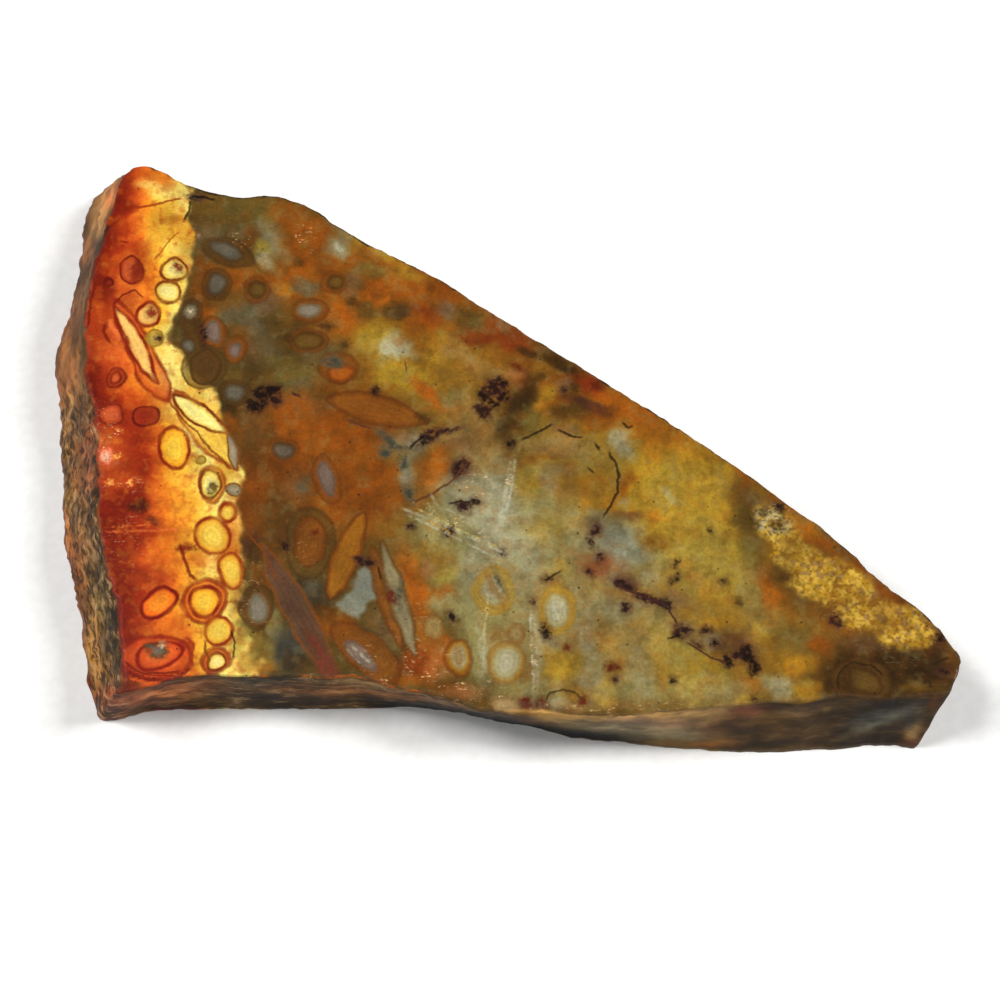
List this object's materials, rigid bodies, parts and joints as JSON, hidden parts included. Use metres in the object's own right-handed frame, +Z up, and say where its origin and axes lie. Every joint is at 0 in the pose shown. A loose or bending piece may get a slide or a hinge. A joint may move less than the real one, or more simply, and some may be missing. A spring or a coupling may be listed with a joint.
{
  "type": "seam agate slab",
  "caption": "Flat wedge-shaped slab of seam agate with fossil root markings, parallel saw cuts, a polished upper face and a rough natural rind along one edge.",
  "frame": {"origin": "on the lower saw cut, under the middle of the stone's bounding box", "axes": "+X along the stone from the rind to the narrow tip, +Y towards the long back edge, +Z up out of the polished saw cut"},
  "size_m": [0.0896, 0.0692, 0.007],
  "materials": {
    "agate": "polished, wet-looking upper face; dull sawn and rough sides"
  },
  "bodies": {
    "root": {"agate_slab": "agate"}
  },
  "joints": []
}
